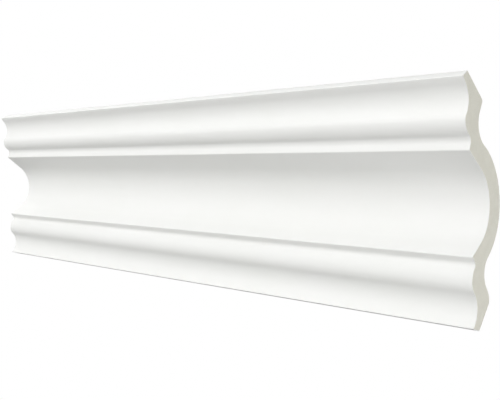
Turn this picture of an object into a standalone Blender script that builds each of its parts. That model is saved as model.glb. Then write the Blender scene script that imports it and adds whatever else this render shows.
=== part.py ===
"""A length of crown moulding: a thin S-shaped shell of rigid foam, primed white, cut square at both ends.

The row frame is the moulding as it is fixed: X along its length, the wall is the plane Y = 0 with the room
at -Y, and the ceiling is a plane facing +Z. The origin is at the middle of the flat that lies on the wall.

The section is drawn in its own face frame, then leaned over by the spring angle. A point there is (height,
depth): the height up the face from the front of the bottom edge, and the depth behind a plane through that
edge at the spring angle.
"""

import math

import bmesh
import bpy
from mathutils import Matrix, Vector

# Length and lean, metres and degrees
LENGTH = 0.510
SPRING_ANGLE = 45.0
WALL_STANDOFF = 0.0068
BOTTOM_BEVEL = 23.0

# Shell and its back
SHELL_THICKNESS = 0.0127
BACK_RISE = 0.0006
NECK_DEPTH = 0.0153
UPPER_NECK_RADIUS = 0.014
LOWER_NECK_RADIUS = 0.012
NECK_SWEEP = 35.0
WALL_CORNER_TRIM = 0.0042
CEILING_CORNER_TRIM = 0.0015

# Lower cove, lower bead, quirk and step, from the bottom edge upwards
LOWER_COVE_HEIGHT = 0.0190
LOWER_COVE_SETBACK = 0.0027
LOWER_COVE_SAG = 0.0042
LOWER_BEAD_RISE = 0.0054
LOWER_BEAD_CREST_DEPTH = 0.0008
LOWER_BEAD_FALL = 0.0088
LOWER_QUIRK_DEPTH = 0.0049
LOWER_QUIRK_WIDTH = 0.0030
LOWER_QUIRK_END_DEPTH = 0.0047
LOWER_QUIRK_SAG = 0.0006
STEP_RISE = 0.0029
STEP_DEPTH = 0.0024

# Big cove, and the height left between its circle and the arris at each side
COVE_RADIUS = 0.025
COVE_LOWER_MARGIN = 0.0028
COVE_UPPER_MARGIN = 0.0052
FILLET_DEPTH = 0.0037

# Fillet, quirk and bead above the big cove
FILLET_HEIGHT = 0.0029
FILLET_END_DEPTH = 0.0049
UPPER_QUIRK_WIDTH = 0.0052
UPPER_QUIRK_SAG = 0.0010
UPPER_BEAD_SETBACK = 0.0041
UPPER_BEAD_RISE = 0.0078
UPPER_BEAD_CREST_DEPTH = 0.0004
UPPER_BEAD_FALL = 0.0044

# Upper cove and lip
UPPER_COVE_SETBACK = 0.0023
UPPER_COVE_HEIGHT = 0.0166
UPPER_COVE_SAG = 0.0029
LIP_SLOPE_DEPTH = 0.0018
LIP_SLOPE_HEIGHT = 0.0033
LIP_PROUD = 0.0003
LIP_NOSE_HEIGHT = 0.0056
LIP_NOSE_LEAN = 17.0

# Rounding of the arrises and smoothness of the curves
STEP_ARRIS_TRIM = 0.0011
FILLET_ARRIS_TRIM = 0.0006
LIP_ARRIS_TRIM = 0.0007
EDGE_TRIM = 0.0004
ARRIS_STEPS = 3
CORNER_STEPS = 6
CURVE_STEP = 0.0011
SHARP_ANGLE = 30.0

# Paint
PRIMER_COLOUR = (0.86, 0.86, 0.84, 1.0)
PRIMER_ROUGHNESS = 0.45


def clear_scene():
    """Remove every object of the opened file."""
    for old in list(bpy.data.objects):
        bpy.data.objects.remove(old, do_unlink=True)


def sagged_arc(start, end, sag):
    """Points after start, up to end, on the arc whose middle lies sag behind (+) or before (-) its chord."""
    chord = end - start
    half = chord.length / 2
    radius = (half * half + sag * sag) / (2 * abs(sag))
    side = math.copysign(1.0, sag)
    normal = Vector((-chord.y, chord.x)).normalized() * side
    centre = (start + end) / 2 - normal * (radius - abs(sag))
    sweep = 2 * math.asin(half / radius)
    steps = max(2, math.ceil(radius * sweep / CURVE_STEP))
    first = math.atan2(start.y - centre.y, start.x - centre.x)
    points = []
    for index in range(1, steps):
        angle = first - side * sweep * index / steps
        points.append(centre + radius * Vector((math.cos(angle), math.sin(angle))))
    points.append(end)
    return points


def centred_arc(centre, radius, first, last):
    """Points on a circle from the angle first to the angle last, both ends included."""
    steps = max(2, math.ceil(radius * abs(last - first) / CURVE_STEP))
    points = []
    for index in range(steps + 1):
        angle = first + (last - first) * index / steps
        points.append(centre + radius * Vector((math.cos(angle), math.sin(angle))))
    return points


def bead(foot, crest, shoulder):
    """Points after foot, up to shoulder: an arc up to the crest and another down from it, level there."""
    points = []
    for first, last, side in ((foot, crest, foot), (crest, shoulder, shoulder)):
        offset = side - crest
        radius = offset.length_squared / (2 * offset.y)
        centre = crest + Vector((0.0, radius))
        away = first - centre
        onward = last - centre
        points += centred_arc(centre, radius, math.atan2(away.y, away.x), math.atan2(onward.y, onward.x))[1:]
    return points


def tangent_angle(point, centre, radius, side):
    """Angle on the circle where the line from an outside point touches it, on the given side."""
    away = point - centre
    return math.atan2(away.y, away.x) + side * math.acos(radius / away.length)


def eased(first, corner, last, steps):
    """Points of a curve that leaves first and reaches last, heading for and from the corner between them."""
    points = []
    for index in range(steps + 1):
        part = index / steps
        points.append((1 - part) ** 2 * first + 2 * part * (1 - part) * corner + part * part * last)
    return points


def rounded(before, corner, after, trim, steps):
    """Points that round a corner between its two neighbours, starting and ending trim from it."""
    first = corner + (before - corner).normalized() * trim
    last = corner + (after - corner).normalized() * trim
    return eased(first, corner, last, steps)


def crossing(point, along, other, other_along):
    """Where the line through a point meets the line through another."""
    gap = other - point
    turn = along.x * other_along.y - along.y * other_along.x
    return point + along * ((gap.x * other_along.y - gap.y * other_along.x) / turn)


def lean():
    """Rotation that takes the face frame's (height, depth) to the room frame's (Y, Z)."""
    angle = math.radians(SPRING_ANGLE)
    return Matrix(((-math.sin(angle), math.cos(angle)), (math.cos(angle), math.sin(angle))))


def lower_members(bottom):
    """Cove, bead and quirk from the bottom edge up, as points after it, up to the foot of the step."""
    foot = bottom + Vector((LOWER_COVE_HEIGHT, LOWER_COVE_SETBACK))
    crest = Vector((foot.x + LOWER_BEAD_RISE, LOWER_BEAD_CREST_DEPTH))
    quirk = Vector((crest.x + LOWER_BEAD_FALL, LOWER_QUIRK_DEPTH))
    quirk_end = Vector((quirk.x + LOWER_QUIRK_WIDTH, LOWER_QUIRK_END_DEPTH))
    points = sagged_arc(bottom, foot, LOWER_COVE_SAG)
    points += bead(foot, crest, quirk)
    points += sagged_arc(quirk, quirk_end, LOWER_QUIRK_SAG)
    return points


def upper_members(fillet):
    """Fillet, quirk, bead, cove and lip slope above the big cove, as points after its arris."""
    fillet_end = Vector((fillet.x + FILLET_HEIGHT, FILLET_END_DEPTH))
    foot = Vector((fillet_end.x + UPPER_QUIRK_WIDTH, UPPER_BEAD_SETBACK))
    crest = Vector((foot.x + UPPER_BEAD_RISE, UPPER_BEAD_CREST_DEPTH))
    shoulder = Vector((crest.x + UPPER_BEAD_FALL, UPPER_COVE_SETBACK))
    cove_end = Vector((shoulder.x + UPPER_COVE_HEIGHT, LIP_SLOPE_DEPTH))
    lip = Vector((cove_end.x + LIP_SLOPE_HEIGHT, -LIP_PROUD))
    points = [fillet_end]
    points += sagged_arc(fillet_end, foot, UPPER_QUIRK_SAG)
    points += bead(foot, crest, shoulder)
    points += sagged_arc(shoulder, cove_end, UPPER_COVE_SAG)
    points.append(lip)
    return points


def front_outline():
    """Face from the bottom edge up to the lip, as (point, rounding) pairs, and the big cove's centre."""
    bottom = Vector((0.0, 0.0))
    lower = lower_members(bottom)
    step = Vector((lower[-1].x + STEP_RISE, STEP_DEPTH))
    cove_centre = Vector((step.x + COVE_LOWER_MARGIN + COVE_RADIUS, 0.0))
    fillet = Vector((cove_centre.x + COVE_RADIUS + COVE_UPPER_MARGIN, FILLET_DEPTH))
    cove = centred_arc(cove_centre, COVE_RADIUS,
                       tangent_angle(step, cove_centre, COVE_RADIUS, -1.0),
                       tangent_angle(fillet, cove_centre, COVE_RADIUS, 1.0))
    upper = upper_members(fillet)

    pairs = [(bottom, EDGE_TRIM)]
    pairs += [(point, 0.0) for point in lower]
    pairs += [(step, STEP_ARRIS_TRIM)]
    pairs += [(point, 0.0) for point in cove]
    pairs += [(fillet, FILLET_ARRIS_TRIM)]
    pairs += [(point, 0.0) for point in upper[:-1]]
    pairs += [(upper[-1], LIP_ARRIS_TRIM)]
    return pairs, cove_centre


def neck(crest_centre, radius, side):
    """Hollow beside the crest, above it (+1) or below it (-1): from the crest's arc out to its own end."""
    depth = NECK_DEPTH + radius
    reach = math.sqrt((COVE_RADIUS + SHELL_THICKNESS + radius) ** 2 - (depth - crest_centre.y) ** 2)
    centre = crest_centre + Vector((side * reach, depth - crest_centre.y))
    to_crest = crest_centre - centre
    last = -math.pi / 2 + side * math.radians(NECK_SWEEP)
    first = math.atan2(to_crest.y, to_crest.x)
    if first > 0:
        first -= 2 * math.pi
    return centred_arc(centre, radius, first, last)


def back_outline(cove_centre, bottom_back, top_back):
    """Back from the front edge of the ceiling flat down to the lower edge of the wall flat."""
    crest_centre = cove_centre + Vector((BACK_RISE, 0.0))
    to_face = lean().inverted()
    upper = neck(crest_centre, UPPER_NECK_RADIUS, 1.0)
    lower = neck(crest_centre, LOWER_NECK_RADIUS, -1.0)
    from_crest = upper[0] - crest_centre
    to_neck = lower[0] - crest_centre
    crest = centred_arc(crest_centre, COVE_RADIUS + SHELL_THICKNESS,
                        math.atan2(from_crest.y, from_crest.x), math.atan2(to_neck.y, to_neck.x))

    ceiling_along = to_face @ Vector((1.0, 0.0))
    wall_along = to_face @ Vector((0.0, 1.0))
    ceiling_corner = crossing(top_back, ceiling_along, upper[-1], upper[-1] - upper[-2])
    wall_corner = crossing(bottom_back, wall_along, lower[-1], lower[-1] - lower[-2])
    points = rounded(top_back, ceiling_corner, upper[-1], CEILING_CORNER_TRIM, CORNER_STEPS)
    points += list(reversed(upper))[:-1]
    points += crest
    points += lower[1:]
    flat_end = wall_corner + (bottom_back - wall_corner).normalized() * WALL_CORNER_TRIM
    points += eased(lower[-1], wall_corner, flat_end, CORNER_STEPS)[1:]
    return points


def section_outline():
    """Closed outline of the section in the room frame, as (Y, Z) points."""
    turn = lean()
    to_face = turn.inverted()
    pairs, cove_centre = front_outline()
    lip = pairs[-1][0]
    lip_room = turn @ lip
    nose_back = LIP_NOSE_HEIGHT * math.tan(math.radians(LIP_NOSE_LEAN))
    top_back = to_face @ (lip_room + Vector((nose_back, LIP_NOSE_HEIGHT)))
    bottom_rise = WALL_STANDOFF * math.tan(math.radians(BOTTOM_BEVEL))
    bottom_back = to_face @ Vector((WALL_STANDOFF, bottom_rise))
    back = back_outline(cove_centre, bottom_back, top_back)
    pairs += [(top_back, EDGE_TRIM)]
    pairs += [(point, 0.0) for point in back]
    pairs += [(bottom_back, EDGE_TRIM)]

    outline = []
    for index, (point, trim) in enumerate(pairs):
        if trim > 0:
            before = pairs[index - 1][0]
            after = pairs[(index + 1) % len(pairs)][0]
            outline += rounded(before, point, after, trim, ARRIS_STEPS)
        else:
            outline.append(point)
    origin = (back[-1] + bottom_back) / 2
    return [turn @ (point - origin) for point in outline]


def build_moulding():
    """The whole moulding: the section drawn at one end and extruded to the other."""
    mesh = bpy.data.meshes.new("crown_moulding")
    shape = bmesh.new()
    rim = [shape.verts.new((-LENGTH / 2, point.x, point.y)) for point in section_outline()]
    end = shape.faces.new(rim)
    swept = bmesh.ops.extrude_face_region(shape, geom=[end])
    far_rim = [item for item in swept["geom"] if isinstance(item, bmesh.types.BMVert)]
    bmesh.ops.translate(shape, vec=(LENGTH, 0.0, 0.0), verts=far_rim)
    bmesh.ops.recalc_face_normals(shape, faces=shape.faces)
    shape.to_mesh(mesh)
    shape.free()
    mesh.shade_smooth()
    mesh.set_sharp_from_angle(angle=math.radians(SHARP_ANGLE))
    mesh.materials.append(primer())
    moulding = bpy.data.objects.new("crown_moulding", mesh)
    bpy.context.scene.collection.objects.link(moulding)
    return moulding


def primer():
    """Satin white primer."""
    paint = bpy.data.materials.new("white_primer")
    paint.use_nodes = True
    shader = paint.node_tree.nodes["Principled BSDF"]
    shader.inputs["Base Color"].default_value = PRIMER_COLOUR
    shader.inputs["Roughness"].default_value = PRIMER_ROUGHNESS
    shader.inputs["Metallic"].default_value = 0.0
    return paint


clear_scene()
build_moulding()
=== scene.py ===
"""A length of foam crown moulding, dressed for a studio picture.

The moulding is one moulded piece. Two bodies of the real thing show on it: the rigid foam core, which is
bare at the sawn ends and on the back, and the film of white primer that wraps the face from the ceiling
flat round the lip and down to the wall flat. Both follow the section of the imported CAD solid.
"""

import logging
import math
from dataclasses import dataclass, field
from enum import Enum

import bmesh
import bpy
from mathutils import Matrix, Vector


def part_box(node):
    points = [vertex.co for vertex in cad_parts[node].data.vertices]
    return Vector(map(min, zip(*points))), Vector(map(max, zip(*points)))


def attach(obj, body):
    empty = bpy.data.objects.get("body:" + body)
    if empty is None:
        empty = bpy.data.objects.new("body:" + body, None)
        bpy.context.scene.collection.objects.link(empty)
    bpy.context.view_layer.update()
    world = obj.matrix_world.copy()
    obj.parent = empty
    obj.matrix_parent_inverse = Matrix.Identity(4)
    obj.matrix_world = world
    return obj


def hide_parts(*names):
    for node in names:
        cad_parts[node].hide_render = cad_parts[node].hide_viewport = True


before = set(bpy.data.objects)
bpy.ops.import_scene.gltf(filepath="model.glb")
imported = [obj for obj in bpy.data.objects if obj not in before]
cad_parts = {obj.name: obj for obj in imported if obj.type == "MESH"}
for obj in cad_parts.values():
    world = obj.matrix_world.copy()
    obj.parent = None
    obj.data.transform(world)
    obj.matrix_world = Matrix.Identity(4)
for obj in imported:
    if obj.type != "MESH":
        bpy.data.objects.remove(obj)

MM = 0.001
NODE = "crown_moulding"
WAVE_SPACING = 0.314  # metres between the bands of a wave texture at a scale of one
LOG = logging.getLogger("crown_moulding")


class Part(Enum):
    """The two bodies that show on the moulding, each with the name of its piece."""

    CORE = "foam_core"
    FILM = "primer_film"


def linear(hex_colour: str) -> tuple[float, float, float, float]:
    """Turn an sRGB colour into the linear one that a shader takes.

    Args:
        hex_colour: six hexadecimal digits, red first.

    Returns:
        Linear red, green and blue, and an alpha of one.
    """
    channels = []
    for start in (0, 2, 4):
        value = int(hex_colour[start:start + 2], 16) / 255
        channels.append(value / 12.92 if value <= 0.04045 else ((value + 0.055) / 1.055) ** 2.4)
    return (channels[0], channels[1], channels[2], 1.0)


def add_node(tree: bpy.types.NodeTree, kind: str, settings: dict, inputs: dict) -> bpy.types.Node:
    """Add a node with its settings and its inputs.

    Args:
        tree: the node tree that gets it.
        kind: the node's type name.
        settings: the node's own properties by name.
        inputs: a value, or another node's output to link, by socket name or number.

    Returns:
        The new node.
    """
    node = tree.nodes.new(kind)
    for name, value in settings.items():
        setattr(node, name, value)
    for key, value in inputs.items():
        if isinstance(value, bpy.types.NodeSocket):
            tree.links.new(value, node.inputs[key])
        else:
            node.inputs[key].default_value = value
    return node


def new_material(name: str) -> tuple[bpy.types.Material, bpy.types.NodeTree, bpy.types.Node]:
    """Make a material that holds a Principled shader.

    Args:
        name: the material's name.

    Returns:
        The material, its node tree and the shader.
    """
    material = bpy.data.materials.new(name)
    material.use_nodes = True
    tree = material.node_tree
    return material, tree, tree.nodes["Principled BSDF"]


@dataclass(frozen=True)
class SatinPrimer:
    """Water-based acrylic primer, sprayed in the factory and dried in an oven.

    It gives the eye a clean, nearly neutral white with a soft sheen. The spray leaves a very fine orange
    peel, and the odd nib of dust under it.
    """

    white: str = "E9E9E8"
    shade: str = "E5E6E3"
    roughness: tuple[float, float] = (0.58, 0.68)
    cloud_mm: float = 60.0
    cloud_detail: float = 3.0
    peel_mm: float = 1.3
    peel_detail: float = 2.0
    peel_height_mm: float = 0.010
    nib_spacing_mm: float = 17.0
    nib_share: float = 0.018
    nib_height_mm: float = 0.06

    def build(self) -> bpy.types.Material:
        """Build the primer's material.

        Returns:
            The finished material.
        """
        material, tree, shader = new_material("satin_acrylic_primer")
        place = add_node(tree, "ShaderNodeTexCoord", {}, {}).outputs["Object"]
        cloud = add_node(tree, "ShaderNodeTexNoise", {},
                         {"Vector": place, "Scale": 1 / (self.cloud_mm * MM), "Detail": self.cloud_detail})
        colour = add_node(tree, "ShaderNodeMix", {"data_type": "RGBA"},
                          {0: cloud.outputs[0], 6: linear(self.white), 7: linear(self.shade)})
        tree.links.new(colour.outputs[2], shader.inputs["Base Color"])
        sheen = add_node(tree, "ShaderNodeMapRange", {},
                         {0: cloud.outputs[0], 3: self.roughness[0], 4: self.roughness[1]})
        tree.links.new(sheen.outputs[0], shader.inputs["Roughness"])

        peel = add_node(tree, "ShaderNodeTexNoise", {},
                        {"Vector": place, "Scale": 1 / (self.peel_mm * MM), "Detail": self.peel_detail})
        peel_bump = add_node(tree, "ShaderNodeBump", {},
                             {"Strength": 1.0, "Distance": self.peel_height_mm * MM,
                              "Height": peel.outputs[0]})
        nibs = add_node(tree, "ShaderNodeTexVoronoi", {},
                        {"Vector": place, "Scale": 1 / (self.nib_spacing_mm * MM)})
        nib_height = add_node(tree, "ShaderNodeMapRange", {"interpolation_type": "SMOOTHSTEP"},
                              {0: nibs.outputs["Distance"], 1: 0.0, 2: self.nib_share, 3: 1.0, 4: 0.0})
        nib_bump = add_node(tree, "ShaderNodeBump", {},
                            {"Strength": 1.0, "Distance": self.nib_height_mm * MM,
                             "Height": nib_height.outputs[0], "Normal": peel_bump.outputs[0]})
        tree.links.new(nib_bump.outputs[0], shader.inputs["Normal"])
        return material


@dataclass(frozen=True)
class SawnFoam:
    """Closed-cell polyurethane foam, cut square with a fine-toothed saw.

    It gives the eye a dull warm grey with a mottled grain of opened cells, their pits darkened with painted
    shade, and the faint slanting scores of the blade. The cells are drawn about twice as coarse as the real
    ones, so that they show.
    """

    body: str = "DCDBD1"
    dark: str = "D0CEC2"
    # colour of the painted shade in the bottoms of the opened cells
    cell_pit_shade_colour: str = "BDBBAE"
    roughness: float = 0.86
    mottle_mm: float = 7.0
    mottle_detail: float = 6.0
    mottle_roughness: float = 0.65
    cell_mm: float = 0.55
    cell_reach: float = 0.5
    cell_shade: float = 0.45
    cell_height_mm: float = 0.12
    score_mm: float = 2.3
    score_height_mm: float = 0.03
    score_slant: float = 24.0
    score_waver: float = 1.5
    score_detail: float = 2.0

    def build(self) -> bpy.types.Material:
        """Build the sawn foam's material.

        Returns:
            The finished material.
        """
        material, tree, shader = new_material("sawn_polyurethane_foam")
        shader.inputs["Roughness"].default_value = self.roughness
        place = add_node(tree, "ShaderNodeTexCoord", {}, {}).outputs["Object"]
        mottle = add_node(tree, "ShaderNodeTexNoise", {},
                          {"Vector": place, "Scale": 1 / (self.mottle_mm * MM),
                           "Detail": self.mottle_detail, "Roughness": self.mottle_roughness})
        body = add_node(tree, "ShaderNodeMix", {"data_type": "RGBA"},
                        {0: mottle.outputs[0], 6: linear(self.body), 7: linear(self.dark)})
        # painted shade: the colour darkens towards the middle of each cell, where the cell bump below sinks
        # a pit
        cells = add_node(tree, "ShaderNodeTexVoronoi", {},
                         {"Vector": place, "Scale": 1 / (self.cell_mm * MM)})
        pit_shade = add_node(tree, "ShaderNodeMapRange", {},
                        {0: cells.outputs["Distance"], 1: 0.0, 2: self.cell_reach, 3: self.cell_shade,
                         4: 0.0})
        colour = add_node(tree, "ShaderNodeMix", {"data_type": "RGBA"},
                          {0: pit_shade.outputs[0], 6: body.outputs[2], 7: linear(self.cell_pit_shade_colour)})
        tree.links.new(colour.outputs[2], shader.inputs["Base Color"])

        turned = add_node(tree, "ShaderNodeMapping", {},
                          {"Vector": place, "Rotation": (math.radians(self.score_slant), 0.0, 0.0)})
        scores = add_node(tree, "ShaderNodeTexWave", {"bands_direction": "Z"},
                          {"Vector": turned.outputs[0], "Scale": WAVE_SPACING / (self.score_mm * MM),
                           "Distortion": self.score_waver, "Detail": self.score_detail})
        score_bump = add_node(tree, "ShaderNodeBump", {},
                              {"Strength": 1.0, "Distance": self.score_height_mm * MM,
                               "Height": scores.outputs[1]})
        cell_bump = add_node(tree, "ShaderNodeBump", {},
                             {"Strength": 1.0, "Distance": self.cell_height_mm * MM,
                              "Height": cells.outputs["Distance"], "Normal": score_bump.outputs[0]})
        tree.links.new(cell_bump.outputs[0], shader.inputs["Normal"])
        return material


@dataclass(frozen=True)
class MouldedSkin:
    """The dense skin that the foam makes against the back of its mould, left unpainted.

    It gives the eye a warm off-white with faint streaks along the piece where the foam flowed, and a few
    pinholes. Its sheen is lower than the primer's.
    """

    cream: str = "E6E2D5"
    streak: str = "DCD6C6"
    roughness: float = 0.62
    streak_mm: float = 5.0
    streak_stretch: float = 14.0
    streak_detail: float = 5.0
    streak_height_mm: float = 0.05
    pore_spacing_mm: float = 6.0
    pore_share: float = 0.07
    pore_depth_mm: float = 0.25

    def build(self) -> bpy.types.Material:
        """Build the back skin's material.

        Returns:
            The finished material.
        """
        material, tree, shader = new_material("moulded_foam_skin")
        shader.inputs["Roughness"].default_value = self.roughness
        place = add_node(tree, "ShaderNodeTexCoord", {}, {}).outputs["Object"]
        drawn = add_node(tree, "ShaderNodeMapping", {},
                         {"Vector": place, "Scale": (1 / self.streak_stretch, 1.0, 1.0)})
        flow = add_node(tree, "ShaderNodeTexNoise", {},
                        {"Vector": drawn.outputs[0], "Scale": 1 / (self.streak_mm * MM),
                         "Detail": self.streak_detail})
        colour = add_node(tree, "ShaderNodeMix", {"data_type": "RGBA"},
                          {0: flow.outputs[0], 6: linear(self.cream), 7: linear(self.streak)})
        tree.links.new(colour.outputs[2], shader.inputs["Base Color"])
        flow_bump = add_node(tree, "ShaderNodeBump", {},
                             {"Strength": 1.0, "Distance": self.streak_height_mm * MM,
                              "Height": flow.outputs[0]})
        pores = add_node(tree, "ShaderNodeTexVoronoi", {},
                         {"Vector": place, "Scale": 1 / (self.pore_spacing_mm * MM)})
        pore = add_node(tree, "ShaderNodeMapRange", {"interpolation_type": "SMOOTHSTEP"},
                        {0: pores.outputs["Distance"], 1: 0.0, 2: self.pore_share, 3: 0.0, 4: 1.0})
        pore_bump = add_node(tree, "ShaderNodeBump", {},
                             {"Strength": 1.0, "Distance": self.pore_depth_mm * MM,
                              "Height": pore.outputs[0], "Normal": flow_bump.outputs[0]})
        tree.links.new(pore_bump.outputs[0], shader.inputs["Normal"])
        return material


@dataclass(frozen=True)
class StudioPaper:
    """Matt background paper, unrolled flat.

    It gives the eye a plain pale ground with no pattern that shows. It is lifted by a glow that only the
    eye sees, so it stays pale where no lamp reaches and throws no extra light on the moulding.
    """

    pale: str = "F2F2F0"
    roughness: float = 0.9
    fibre_mm: float = 3.0
    fibre_height_mm: float = 0.05
    fibre_strength: float = 0.3
    lift: float = 0.6

    def build(self) -> bpy.types.Material:
        """Build the paper's material.

        Returns:
            The finished material.
        """
        material, tree, shader = new_material("matt_background_paper")
        shader.inputs["Base Color"].default_value = linear(self.pale)
        shader.inputs["Roughness"].default_value = self.roughness
        place = add_node(tree, "ShaderNodeTexCoord", {}, {}).outputs["Object"]
        fibre = add_node(tree, "ShaderNodeTexNoise", {},
                         {"Vector": place, "Scale": 1 / (self.fibre_mm * MM)})
        bump = add_node(tree, "ShaderNodeBump", {},
                        {"Strength": self.fibre_strength, "Distance": self.fibre_height_mm * MM,
                         "Height": fibre.outputs[0]})
        tree.links.new(bump.outputs[0], shader.inputs["Normal"])
        glow = add_node(tree, "ShaderNodeEmission", {}, {"Color": linear(self.pale), "Strength": self.lift})
        lifted = add_node(tree, "ShaderNodeAddShader", {}, {0: shader.outputs[0], 1: glow.outputs[0]})
        path = add_node(tree, "ShaderNodeLightPath", {}, {})
        chosen = add_node(tree, "ShaderNodeMixShader", {},
                          {0: path.outputs["Is Camera Ray"], 1: shader.outputs[0], 2: lifted.outputs[0]})
        surface = next(node for node in tree.nodes if node.type == "OUTPUT_MATERIAL").inputs["Surface"]
        tree.links.new(chosen.outputs[0], surface)
        return material


@dataclass
class Section:
    """The moulding's cross-section, read from the square end of the CAD solid.

    Points are (Y, Z) in metres, and the loop runs anticlockwise with Y to the right: along the ceiling flat
    to the lip, down the face, and up the wall flat and the back.
    """

    film_thickness: float = 0.35 * MM
    corner_angle: float = math.radians(16.0)
    uneven_ratio: float = 2.5
    same_place: float = 0.01 * MM
    fineness: int = 3
    loop: list[Vector] = field(default_factory=list)

    def read(self, solid: bpy.types.Object) -> None:
        """Read the outline of the end that faces +X.

        Args:
            solid: the CAD node's object.
        """
        mesh = bmesh.new()
        mesh.from_mesh(solid.data)
        bmesh.ops.remove_doubles(mesh, verts=mesh.verts, dist=self.same_place)
        end = max(vert.co.x for vert in mesh.verts)
        on_end = {vert for vert in mesh.verts if end - vert.co.x < self.same_place}
        caps = {face for face in mesh.faces if all(vert in on_end for vert in face.verts)}
        follows: dict[bmesh.types.BMVert, bmesh.types.BMVert] = {}
        for face in caps:
            for corner in face.loops:
                if corner.link_loop_radial_next.face not in caps:
                    follows[corner.vert] = corner.link_loop_next.vert
        first = next(iter(follows))
        vert = follows[first]
        self.loop = [Vector((first.co.y, first.co.z))]
        while vert is not first:
            self.loop.append(Vector((vert.co.y, vert.co.z)))
            vert = follows[vert]
        mesh.free()

    def face_run(self) -> list[Vector]:
        """Find the part of the loop that carries primer.

        Returns:
            The points from the ceiling flat's front edge, round the lip and down to the wall flat.
        """
        top = max(point.y for point in self.loop)
        pit_shade = max(point.x for point in self.loop)
        start = min((point.x, index) for index, point in enumerate(self.loop)
                    if top - point.y < self.same_place)[1]
        stop = min((point.y, index) for index, point in enumerate(self.loop)
                   if pit_shade - point.x < self.same_place)[1]
        return self.between(start, stop)

    def between(self, start: int, stop: int) -> list[Vector]:
        """List the loop's points from one place to another, both included.

        Args:
            start: number of the first point.
            stop: number of the last point.

        Returns:
            The points in the loop's own order.
        """
        count = len(self.loop)
        return [self.loop[(start + step) % count] for step in range((stop - start) % count + 1)]

    def back_run(self) -> list[Vector]:
        """Find the bare part of the loop: the wall flat, the back and the ceiling flat.

        Returns:
            The points from the wall flat's lower edge to the ceiling flat's front edge.
        """
        face = self.face_run()
        return self.between(self.loop.index(face[-1]), self.loop.index(face[0]))

    def refined(self, run: list[Vector]) -> list[Vector]:
        """Add points to the smooth stretches of a run, on a curve through its own points.

        Args:
            run: an open run of points.

        Returns:
            The same run, with more points wherever it doesn't turn a corner.
        """
        fine = [run[0]]
        for index in range(len(run) - 1):
            here, there = run[index], run[index + 1]
            before = run[index - 1] if index > 0 else here
            after = run[index + 2] if index + 2 < len(run) else there
            if self.is_smooth(before, here, there) and self.is_smooth(here, there, after):
                for step in range(1, self.fineness):
                    fine.append(self.on_curve(before, here, there, after, step / self.fineness))
            fine.append(there)
        return fine

    def is_smooth(self, before: Vector, here: Vector, after: Vector) -> bool:
        """Say whether a run goes through a point without an end, an arris or a quirk there."""
        first = here - before
        last = after - here
        if first.length < self.same_place or last.length < self.same_place:
            return False
        even = max(first.length, last.length) < self.uneven_ratio * min(first.length, last.length)
        return even and abs(first.angle_signed(last)) < self.corner_angle

    @staticmethod
    def on_curve(before: Vector, here: Vector, there: Vector, after: Vector, part: float) -> Vector:
        """Find a point between two others, on the smooth curve that also heeds their neighbours.

        Args:
            before: the point ahead of the stretch.
            here: where the stretch starts.
            there: where it ends.
            after: the point past it.
            part: how far along the stretch, from 0 to 1.

        Returns:
            The point on the curve.
        """
        square, cube = part * part, part * part * part
        return 0.5 * (2 * here + (there - before) * part
                      + (2 * before - 5 * here + 4 * there - after) * square
                      + (3 * here - before - 3 * there + after) * cube)

    def under_film(self, run: list[Vector]) -> list[Vector]:
        """Find the line between primer and foam.

        Args:
            run: the primed run, on the outside.

        Returns:
            The run one film's thickness inside it, ending on the ceiling flat and on the wall flat.
        """
        inner = [run[0] + Vector((self.film_thickness, 0.0))]
        last = run[-1] + Vector((0.0, self.film_thickness))
        for index in range(1, len(run) - 1):
            along = (run[index + 1] - run[index - 1]).normalized()
            point = run[index] + Vector((-along.y, along.x)) * self.film_thickness
            forward = (point - inner[-1]).dot(along) > 0
            clear = (point - inner[0]).length > self.film_thickness
            if forward and clear and (point - last).length > self.film_thickness:
                inner.append(point)
        inner.append(last)
        return inner

    def film_profile(self) -> list[Vector]:
        """Draw the closed outline of the primer film."""
        run = self.refined(self.face_run())
        return run + list(reversed(self.under_film(run)))

    def core_profile(self) -> list[Vector]:
        """Draw the closed outline of the foam inside the film."""
        inner = self.under_film(self.refined(self.face_run()))
        return inner + self.refined(self.back_run())[1:-1]


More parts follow.
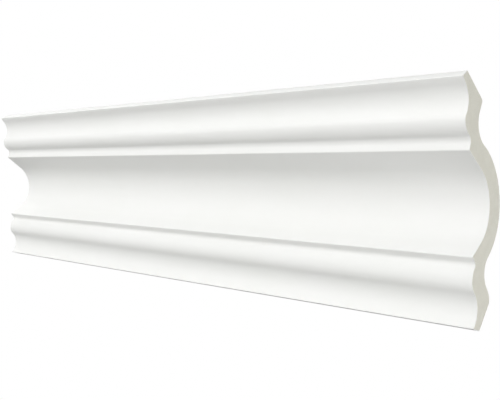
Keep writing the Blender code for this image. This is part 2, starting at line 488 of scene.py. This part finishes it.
@dataclass
class SweepTree:
    """Node tree that sweeps a closed profile along the length and roughs its sawn ends."""

    noise_seed: float = 7.0
    noise_detail: float = 2.0
    cut_margin: float = 0.1 * MM
    cut_facing: float = 0.8

    def build(self) -> bpy.types.NodeTree:
        """Build the tree with its named inputs.

        Returns:
            The node group.
        """
        tree = bpy.data.node_groups.new("sweep_between_saw_cuts", "GeometryNodeTree")
        panel = tree.interface
        panel.new_socket("Geometry", in_out="INPUT", socket_type="NodeSocketGeometry")
        panel.new_socket("Length", in_out="INPUT", socket_type="NodeSocketFloat")
        panel.new_socket("Slices", in_out="INPUT", socket_type="NodeSocketInt")
        panel.new_socket("Cut Roughness", in_out="INPUT", socket_type="NodeSocketFloat")
        panel.new_socket("Chip Size", in_out="INPUT", socket_type="NodeSocketFloat")
        panel.new_socket("Side Finish", in_out="INPUT", socket_type="NodeSocketMaterial")
        panel.new_socket("Cut Finish", in_out="INPUT", socket_type="NodeSocketMaterial")
        panel.new_socket("Geometry", in_out="OUTPUT", socket_type="NodeSocketGeometry")

        given = add_node(tree, "NodeGroupInput", {}, {}).outputs
        half = add_node(tree, "ShaderNodeMath", {"operation": "MULTIPLY"}, {0: given["Length"], 1: 0.5})
        minus = add_node(tree, "ShaderNodeMath", {"operation": "MULTIPLY"}, {0: given["Length"], 1: -0.5})
        start = add_node(tree, "ShaderNodeCombineXYZ", {}, {"X": minus.outputs[0]})
        stop = add_node(tree, "ShaderNodeCombineXYZ", {}, {"X": half.outputs[0]})
        rail = add_node(tree, "GeometryNodeCurvePrimitiveLine", {},
                        {"Start": start.outputs[0], "End": stop.outputs[0]})
        sliced = add_node(tree, "GeometryNodeResampleCurve", {},
                          {"Curve": rail.outputs[0], "Count": given["Slices"]})
        profile = add_node(tree, "GeometryNodeMeshToCurve", {}, {"Mesh": given["Geometry"]})
        swept = add_node(tree, "GeometryNodeCurveToMesh", {},
                         {"Curve": sliced.outputs[0], "Profile Curve": profile.outputs[0],
                          "Fill Caps": True})

        place = add_node(tree, "GeometryNodeInputPosition", {}, {}).outputs[0]
        along = add_node(tree, "ShaderNodeSeparateXYZ", {}, {0: place}).outputs["X"]
        reach = add_node(tree, "ShaderNodeMath", {"operation": "ABSOLUTE"}, {0: along})
        edge = add_node(tree, "ShaderNodeMath", {"operation": "SUBTRACT"},
                        {0: half.outputs[0], 1: self.cut_margin})
        at_cut = add_node(tree, "FunctionNodeCompare", {"operation": "GREATER_THAN"},
                          {0: reach.outputs[0], 1: edge.outputs[0]})
        fine = add_node(tree, "ShaderNodeMath", {"operation": "DIVIDE"}, {0: 1.0, 1: given["Chip Size"]})
        chips = add_node(tree, "ShaderNodeTexNoise", {"noise_dimensions": "4D"},
                         {"Vector": place, "W": self.noise_seed, "Scale": fine.outputs[0],
                          "Detail": self.noise_detail})
        depth = add_node(tree, "ShaderNodeMath", {"operation": "MULTIPLY"},
                         {0: chips.outputs[0], 1: given["Cut Roughness"]})
        outward = add_node(tree, "ShaderNodeMath", {"operation": "SIGN"}, {0: along})
        raised = add_node(tree, "ShaderNodeMath", {"operation": "MULTIPLY"},
                          {0: depth.outputs[0], 1: outward.outputs[0]})
        sunk = add_node(tree, "ShaderNodeMath", {"operation": "MULTIPLY"}, {0: raised.outputs[0], 1: -1.0})
        offset = add_node(tree, "ShaderNodeCombineXYZ", {}, {"X": sunk.outputs[0]})
        ragged = add_node(tree, "GeometryNodeSetPosition", {},
                          {"Geometry": swept.outputs[0], "Selection": at_cut.outputs[0],
                           "Offset": offset.outputs[0]})

        facing = add_node(tree, "GeometryNodeInputNormal", {}, {}).outputs[0]
        sideways = add_node(tree, "ShaderNodeSeparateXYZ", {}, {0: facing}).outputs["X"]
        square = add_node(tree, "ShaderNodeMath", {"operation": "ABSOLUTE"}, {0: sideways})
        is_cut = add_node(tree, "FunctionNodeCompare", {"operation": "GREATER_THAN"},
                          {0: square.outputs[0], 1: self.cut_facing})
        real = add_node(tree, "GeometryNodeRealizeInstances", {}, {"Geometry": ragged.outputs[0]})
        sides = add_node(tree, "GeometryNodeSetMaterial", {},
                         {"Geometry": real.outputs[0], "Material": given["Side Finish"]})
        cuts = add_node(tree, "GeometryNodeSetMaterial", {},
                        {"Geometry": sides.outputs[0], "Selection": is_cut.outputs[0],
                         "Material": given["Cut Finish"]})
        add_node(tree, "NodeGroupOutput", {}, {"Geometry": cuts.outputs[0]})
        return tree


@dataclass
class SweptBody:
    """One body of the moulding, swept along its length between the two saw cuts."""

    part: Part
    profile: list[Vector]
    length: float
    side_finish: bpy.types.Material
    cut_finish: bpy.types.Material
    cut_roughness: float
    slices: int = 18
    chip_size: float = 1.6 * MM
    sharp_angle: float = math.radians(28.0)

    def build(self, tree: bpy.types.NodeTree) -> bpy.types.Object:
        """Sweep the profile and turn the result into a plain mesh piece.

        Args:
            tree: the sweep's node group.

        Returns:
            The finished piece.
        """
        outline = bpy.data.meshes.new(self.part.value + "_outline")
        corners = [(-point.x, -point.y, 0.0) for point in self.profile]
        sides = [(index, (index + 1) % len(corners)) for index in range(len(corners))]
        outline.from_pydata(corners, sides, [])
        drawn = bpy.data.objects.new(self.part.value + "_outline", outline)
        bpy.context.scene.collection.objects.link(drawn)
        modifier = drawn.modifiers.new("sweep", "NODES")
        modifier.node_group = tree
        sizes = {"Length": self.length, "Slices": self.slices, "Cut Roughness": self.cut_roughness,
                 "Chip Size": self.chip_size, "Side Finish": self.side_finish,
                 "Cut Finish": self.cut_finish}
        for socket in tree.interface.items_tree:
            if socket.in_out == "INPUT" and socket.name in sizes:
                modifier[socket.identifier] = sizes[socket.name]
        seen = drawn.evaluated_get(bpy.context.evaluated_depsgraph_get())
        mesh = bpy.data.meshes.new_from_object(seen)
        bpy.data.objects.remove(drawn)
        return self.finish(mesh)

    def finish(self, mesh: bpy.types.Mesh) -> bpy.types.Object:
        """Point the faces outwards, smooth them between arrises and put the piece in the scene.

        Args:
            mesh: the swept mesh.

        Returns:
            The finished piece.
        """
        shape = bmesh.new()
        shape.from_mesh(mesh)
        bmesh.ops.recalc_face_normals(shape, faces=shape.faces)
        shape.to_mesh(mesh)
        shape.free()
        mesh.shade_smooth()
        mesh.set_sharp_from_angle(angle=self.sharp_angle)
        piece = bpy.data.objects.new(self.part.value, mesh)
        bpy.context.scene.collection.objects.link(piece)
        return piece


@dataclass
class Moulding:
    """The whole length: foam core and primer film on the CAD solid's own section."""

    solid: bpy.types.Object
    core_cut_roughness: float = 0.10 * MM
    film_cut_roughness: float = 0.22 * MM

    def build(self) -> list[bpy.types.Object]:
        """Build both bodies and give them to the frame.

        Returns:
            The two pieces.
        """
        low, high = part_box(NODE)
        length = high.x - low.x
        section = Section()
        section.read(self.solid)
        tree = SweepTree().build()
        primer = SatinPrimer().build()
        core = SweptBody(Part.CORE, section.core_profile(), length, MouldedSkin().build(),
                         SawnFoam().build(), self.core_cut_roughness)
        film = SweptBody(Part.FILM, section.film_profile(), length, primer, primer,
                         self.film_cut_roughness)
        pieces = [body.build(tree) for body in (core, film)]
        for piece in pieces:
            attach(piece, "root")
            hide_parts(NODE)
            LOG.info("%s: %d faces", piece.name, len(piece.data.polygons))
        return pieces


@dataclass
class Camera:
    """Camera low in front of the near end, looking up along the face, rolled so the face stands upright."""

    place: tuple[float, float, float] = (0.44105, -0.34433, -0.18105)
    heading: float = math.radians(51.71)
    tilt: float = math.radians(27.76)
    roll: float = math.radians(30.52)
    focal_px: float = 725.0
    optical_row: float = 165.0
    width_px: float = 500.0
    height_px: float = 400.0
    sensor_mm: float = 36.0
    nearest: float = 0.01

    def build(self) -> bpy.types.Object:
        """Make the camera and set it as the scene's.

        Returns:
            The camera object.
        """
        data = bpy.data.cameras.new("photo_camera")
        data.sensor_fit = "HORIZONTAL"
        data.sensor_width = self.sensor_mm
        data.lens = self.focal_px * self.sensor_mm / self.width_px
        data.shift_y = (self.optical_row - self.height_px / 2) / self.width_px
        data.clip_start = self.nearest
        camera = bpy.data.objects.new("photo_camera", data)
        turn = (Matrix.Rotation(self.heading, 4, "Z") @ Matrix.Rotation(math.pi / 2 + self.tilt, 4, "X")
                @ Matrix.Rotation(self.roll, 4, "Z"))
        camera.matrix_world = Matrix.Translation(self.place) @ turn
        bpy.context.scene.collection.objects.link(camera)
        bpy.context.scene.camera = camera
        LOG.info("camera: %.1f mm lens", data.lens)
        return camera


@dataclass
class Softbox:
    """A rectangular soft light that faces the middle of the moulding.

    The azimuth is counted in degrees from straight in front, towards the end at +X, and the elevation
    from level. Lengths are in metres and the power in watts.
    """

    name: str
    azimuth: float
    elevation: float
    width: float
    height: float
    power: float
    distance: float

    def build(self, target: Vector) -> bpy.types.Object:
        """Make the light.

        Args:
            target: the point that it faces.

        Returns:
            The light object.
        """
        data = bpy.data.lights.new(self.name, "AREA")
        data.shape = "RECTANGLE"
        data.size = self.width
        data.size_y = self.height
        data.energy = self.power
        light = bpy.data.objects.new(self.name, data)
        turn = math.radians(self.azimuth)
        rise = math.radians(self.elevation)
        away = Vector((math.sin(turn) * math.cos(rise), -math.cos(turn) * math.cos(rise), math.sin(rise)))
        light.matrix_world = (Matrix.Translation(target + away * self.distance)
                              @ away.to_track_quat("Z", "Y").to_matrix().to_4x4())
        bpy.context.scene.collection.objects.link(light)
        LOG.info("%s: %.1f W", self.name, self.power)
        return light


@dataclass
class Studio:
    """White surround, pale floor well below the moulding, and soft lights in front, beside and behind."""

    centre: Vector
    floor_drop: float = 1.8
    floor_size: float = 12.0
    lights: tuple[Softbox, ...] = (
        Softbox("front_strip", 0.0, -10.0, 4.8, 1.2, 60.4, 2.4),
        Softbox("raised_strip", 0.0, 20.0, 4.8, 1.2, 22.4, 2.4),
        Softbox("high_strip", 0.0, 50.0, 4.8, 1.2, 16.1, 2.4),
        Softbox("low_side_box", -50.0, -30.0, 1.2, 1.2, 7.1, 2.4),
        Softbox("near_end_box", 101.0, -9.0, 0.6, 0.6, 6.1, 1.2),
        Softbox("far_end_box", -75.0, 30.0, 0.6, 0.6, 2.1, 1.2),
        Softbox("back_strip", 180.0, 35.0, 4.8, 1.2, 40.0, 2.4),
    )

    def build(self) -> None:
        """Build the surround, the floor and the lights."""
        self.surround()
        self.floor()
        for light in self.lights:
            light.build(self.centre)
        bpy.context.scene.view_settings.view_transform = "Standard"

    def surround(self) -> None:
        """Make the surround: pure white to the eye, and no source of light."""
        world = bpy.data.worlds.new("white_surround")
        world.use_nodes = True
        tree = world.node_tree
        tree.nodes.clear()
        path = add_node(tree, "ShaderNodeLightPath", {}, {})
        seen = add_node(tree, "ShaderNodeBackground", {}, {"Color": linear("FFFFFF"), "Strength": 1.0})
        chosen = add_node(tree, "ShaderNodeMixShader", {},
                          {0: path.outputs["Is Camera Ray"], 2: seen.outputs[0]})
        add_node(tree, "ShaderNodeOutputWorld", {}, {"Surface": chosen.outputs[0]})
        bpy.context.scene.world = world

    def floor(self) -> None:
        """Lay the floor."""
        half = self.floor_size / 2
        level = self.centre.z - self.floor_drop
        mesh = bpy.data.meshes.new("studio_floor")
        mesh.from_pydata([(-half, -half, level), (half, -half, level), (half, half, level),
                          (-half, half, level)], [], [(0, 1, 2, 3)])
        mesh.materials.append(StudioPaper().build())
        ground = bpy.data.objects.new("studio_floor", mesh)
        bpy.context.scene.collection.objects.link(ground)


def corners(bounds: tuple) -> list[list[float]]:
    """List a box's two corners as plain numbers."""
    return [[float(value) for value in corner] for corner in bounds]


def main() -> None:
    """Build the moulding, the camera and the studio."""
    logging.basicConfig(level=logging.INFO, format="%(name)s: %(message)s")
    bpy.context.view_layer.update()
    low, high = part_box(NODE)
    Moulding(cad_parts[NODE]).build()
    Camera().build()
    Studio((low + high) / 2).build()


if __name__ == "__main__":
    main()
